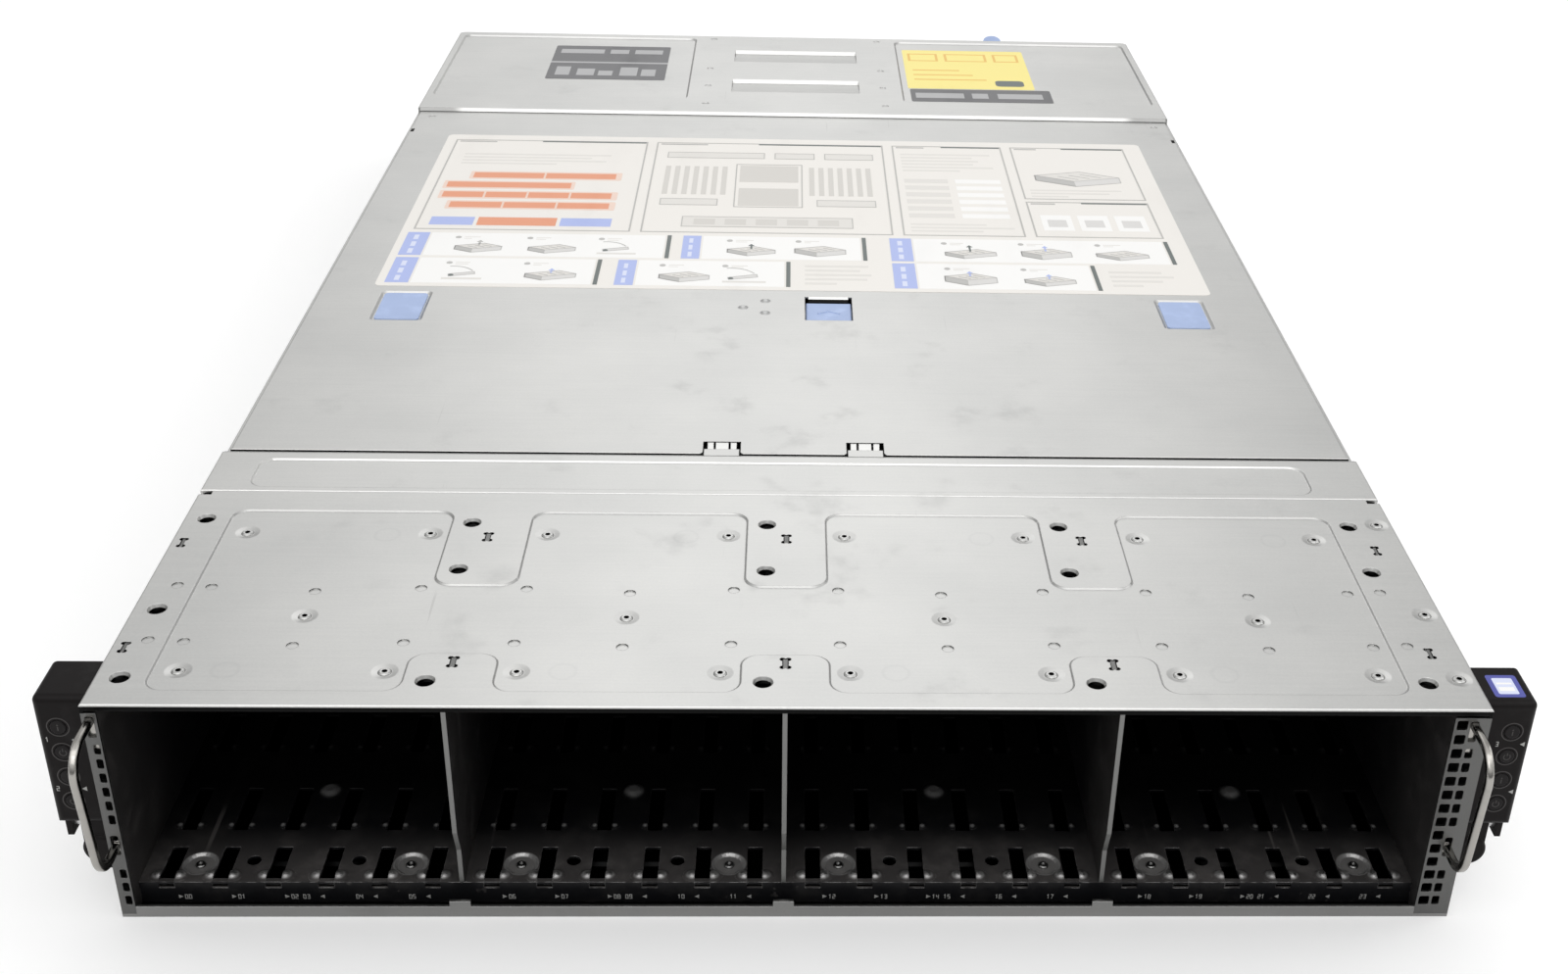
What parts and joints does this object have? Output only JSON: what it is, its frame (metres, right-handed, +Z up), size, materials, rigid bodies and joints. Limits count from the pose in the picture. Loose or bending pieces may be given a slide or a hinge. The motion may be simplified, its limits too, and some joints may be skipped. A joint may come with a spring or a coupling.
{
  "type": "multi-node rack server",
  "caption": "Two-unit rack server chassis with empty drive bays, control ears, a sliding service cover and slide-out node sleds behind.",
  "frame": {"origin": "middle of the floor pan's underside", "axes": "+X to the right seen from the front, +Y from the drive bays to the rear, +Z up"},
  "size_m": [0.482, 0.8113, 0.0869],
  "materials": {
    "galvanised_sheet": "satin galvanised sheet steel",
    "cage_black": "satin black powder coat",
    "bright_handle": "polished chrome plate",
    "ear_plastic": "fine-textured black moulding",
    "touch_blue": "pale blue touch-point moulding",
    "board_green": "solder-masked circuit board",
    "fan_black": "black fan moulding",
    "cooler_metal": "extruded fins",
    "rivet_metal": "dull rivet heads",
    "pin_steel": "turned pin",
    "supply_case": "dark supply case",
    "trip_orange": "orange release tab"
  },
  "bodies": {
    "chassis": {"floor_pan": "galvanised_sheet", "front_deck": "galvanised_sheet", "deck_rivets": "rivet_metal", "mid_strip": "galvanised_sheet", "rear_top_panel": "galvanised_sheet", "cage_floor": "cage_black", "bay_dividers": "cage_black", "drive_backplane": "board_green", "ear_boards": "board_green", "rack_latch_pins": "pin_steel", "fan_frames": "fan_black", "midplane": "board_green", "sled_bay_frame": "galvanised_sheet", "left_side_wall": "galvanised_sheet", "left_cage_wall": "cage_black", "left_front_strip": "galvanised_sheet", "left_pull_handle": "bright_handle", "left_ear_housing": "ear_plastic", "right_side_wall": "galvanised_sheet", "right_cage_wall": "cage_black", "right_front_strip": "galvanised_sheet", "right_pull_handle": "bright_handle", "right_ear_housing": "ear_plastic"},
    "cover": {"sliding_cover": "galvanised_sheet", "grip_pads": "touch_blue"},
    "cover_latch": {"cover_latch": "touch_blue"},
    "fan_1": {"fan_rotor_1": "fan_black"},
    "fan_2": {"fan_rotor_2": "fan_black"},
    "fan_3": {"fan_rotor_3": "fan_black"},
    "fan_4": {"fan_rotor_4": "fan_black"},
    "left_rack_latch": {"left_rack_latch": "ear_plastic"},
    "left_first_id_button": {"left_first_id_button": "ear_plastic"},
    "left_first_power_button": {"left_first_power_button": "ear_plastic"},
    "left_second_id_button": {"left_second_id_button": "ear_plastic"},
    "left_second_power_button": {"left_second_power_button": "ear_plastic"},
    "lower_left_sled": {"lower_left_sled_tray": "galvanised_sheet", "lower_left_sled_board": "board_green", "lower_left_sled_coolers": "cooler_metal"},
    "lower_left_sled_lever": {"lower_left_sled_lever": "touch_blue"},
    "upper_left_sled": {"upper_left_sled_tray": "galvanised_sheet", "upper_left_sled_board": "board_green", "upper_left_sled_coolers": "cooler_metal"},
    "upper_left_sled_lever": {"upper_left_sled_lever": "touch_blue"},
    "right_rack_latch": {"right_rack_latch": "ear_plastic"},
    "right_first_id_button": {"right_first_id_button": "ear_plastic"},
    "right_first_power_button": {"right_first_power_button": "ear_plastic"},
    "right_second_id_button": {"right_second_id_button": "ear_plastic"},
    "right_second_power_button": {"right_second_power_button": "ear_plastic"},
    "lower_right_sled": {"lower_right_sled_tray": "galvanised_sheet", "lower_right_sled_board": "board_green", "lower_right_sled_coolers": "cooler_metal"},
    "lower_right_sled_lever": {"lower_right_sled_lever": "touch_blue"},
    "upper_right_sled": {"upper_right_sled_tray": "galvanised_sheet", "upper_right_sled_board": "board_green", "upper_right_sled_coolers": "cooler_metal"},
    "upper_right_sled_lever": {"upper_right_sled_lever": "touch_blue"},
    "lower_power_supply": {"lower_power_supply": "supply_case"},
    "lower_power_supply_latch": {"lower_power_supply_latch": "trip_orange"},
    "upper_power_supply": {"upper_power_supply": "supply_case"},
    "upper_power_supply_latch": {"upper_power_supply_latch": "trip_orange"}
  },
  "joints": [
    {"name": "cover_slide", "type": "slide", "parent": "chassis", "child": "cover", "axis": [0, 1, 0], "range_m": [0, 0.016]},
    {"name": "cover_latch_slide", "type": "slide", "parent": "cover", "child": "cover_latch", "axis": [0, 1, 0], "range_m": [0, 0.003], "stiffness_N_per_m": 300},
    {"name": "fan_1_spin", "type": "hinge", "parent": "chassis", "child": "fan_1", "pos_m": [-0.1671, -0.1815, 0.0412], "axis": [0, 1, 0], "continuous": true},
    {"name": "fan_2_spin", "type": "hinge", "parent": "chassis", "child": "fan_2", "pos_m": [-0.0557, -0.1815, 0.0412], "axis": [0, 1, 0], "continuous": true},
    {"name": "fan_3_spin", "type": "hinge", "parent": "chassis", "child": "fan_3", "pos_m": [0.0557, -0.1815, 0.0412], "axis": [0, 1, 0], "continuous": true},
    {"name": "fan_4_spin", "type": "hinge", "parent": "chassis", "child": "fan_4", "pos_m": [0.1671, -0.1815, 0.0412], "axis": [0, 1, 0], "continuous": true},
    {"name": "left_rack_latch_hinge", "type": "hinge", "parent": "chassis", "child": "left_rack_latch", "pos_m": [-0.232, -0.3695, 0.0315], "axis": [-1, 0, 0], "range_deg": [0, 18], "stiffness_Nm_per_rad": 0.15},
    {"name": "left_first_id_press", "type": "slide", "parent": "chassis", "child": "left_first_id_button", "axis": [0, 1, 0], "range_m": [0, 0.001], "stiffness_N_per_m": 800},
    {"name": "left_first_power_press", "type": "slide", "parent": "chassis", "child": "left_first_power_button", "axis": [0, 1, 0], "range_m": [0, 0.001], "stiffness_N_per_m": 800},
    {"name": "left_second_id_press", "type": "slide", "parent": "chassis", "child": "left_second_id_button", "axis": [0, 1, 0], "range_m": [0, 0.001], "stiffness_N_per_m": 800},
    {"name": "left_second_power_press", "type": "slide", "parent": "chassis", "child": "left_second_power_button", "axis": [0, 1, 0], "range_m": [0, 0.001], "stiffness_N_per_m": 800},
    {"name": "lower_left_sled_slide", "type": "slide", "parent": "chassis", "child": "lower_left_sled", "axis": [0, 1, 0], "range_m": [0, 0.45]},
    {"name": "lower_left_sled_lever_hinge", "type": "hinge", "parent": "lower_left_sled", "child": "lower_left_sled_lever", "pos_m": [-0.1351, 0.3875, 0.0304], "axis": [1, 0, 0], "range_deg": [0, 98]},
    {"name": "upper_left_sled_slide", "type": "slide", "parent": "chassis", "child": "upper_left_sled", "axis": [0, 1, 0], "range_m": [0, 0.45]},
    {"name": "upper_left_sled_lever_hinge", "type": "hinge", "parent": "upper_left_sled", "child": "upper_left_sled_lever", "pos_m": [-0.1351, 0.3875, 0.072], "axis": [1, 0, 0], "range_deg": [0, 98]},
    {"name": "right_rack_latch_hinge", "type": "hinge", "parent": "chassis", "child": "right_rack_latch", "pos_m": [0.232, -0.3695, 0.0315], "axis": [-1, 0, 0], "range_deg": [0, 18], "stiffness_Nm_per_rad": 0.15},
    {"name": "right_first_id_press", "type": "slide", "parent": "chassis", "child": "right_first_id_button", "axis": [0, 1, 0], "range_m": [0, 0.001], "stiffness_N_per_m": 800},
    {"name": "right_first_power_press", "type": "slide", "parent": "chassis", "child": "right_first_power_button", "axis": [0, 1, 0], "range_m": [0, 0.001], "stiffness_N_per_m": 800},
    {"name": "right_second_id_press", "type": "slide", "parent": "chassis", "child": "right_second_id_button", "axis": [0, 1, 0], "range_m": [0, 0.001], "stiffness_N_per_m": 800},
    {"name": "right_second_power_press", "type": "slide", "parent": "chassis", "child": "right_second_power_button", "axis": [0, 1, 0], "range_m": [0, 0.001], "stiffness_N_per_m": 800},
    {"name": "lower_right_sled_slide", "type": "slide", "parent": "chassis", "child": "lower_right_sled", "axis": [0, 1, 0], "range_m": [0, 0.45]},
    {"name": "lower_right_sled_lever_hinge", "type": "hinge", "parent": "lower_right_sled", "child": "lower_right_sled_lever", "pos_m": [0.1351, 0.3875, 0.0304], "axis": [1, 0, 0], "range_deg": [0, 98]},
    {"name": "upper_right_sled_slide", "type": "slide", "parent": "chassis", "child": "upper_right_sled", "axis": [0, 1, 0], "range_m": [0, 0.45]},
    {"name": "upper_right_sled_lever_hinge", "type": "hinge", "parent": "upper_right_sled", "child": "upper_right_sled_lever", "pos_m": [0.1351, 0.3875, 0.072], "axis": [1, 0, 0], "range_deg": [-98, 0]},
    {"name": "lower_power_supply_slide", "type": "slide", "parent": "chassis", "child": "lower_power_supply", "axis": [0, 1, 0], "range_m": [0, 0.2]},
    {"name": "lower_power_supply_latch_hinge", "type": "hinge", "parent": "lower_power_supply", "child": "lower_power_supply_latch", "pos_m": [0.0404, 0.3855, 0.0206], "axis": [0, 0, 1], "range_deg": [0, 15], "stiffness_Nm_per_rad": 0.05},
    {"name": "upper_power_supply_slide", "type": "slide", "parent": "chassis", "child": "upper_power_supply", "axis": [0, 1, 0], "range_m": [0, 0.2]},
    {"name": "upper_power_supply_latch_hinge", "type": "hinge", "parent": "upper_power_supply", "child": "upper_power_supply_latch", "pos_m": [0.0404, 0.3855, 0.0622], "axis": [0, 0, 1], "range_deg": [0, 15], "stiffness_Nm_per_rad": 0.05}
  ]
}
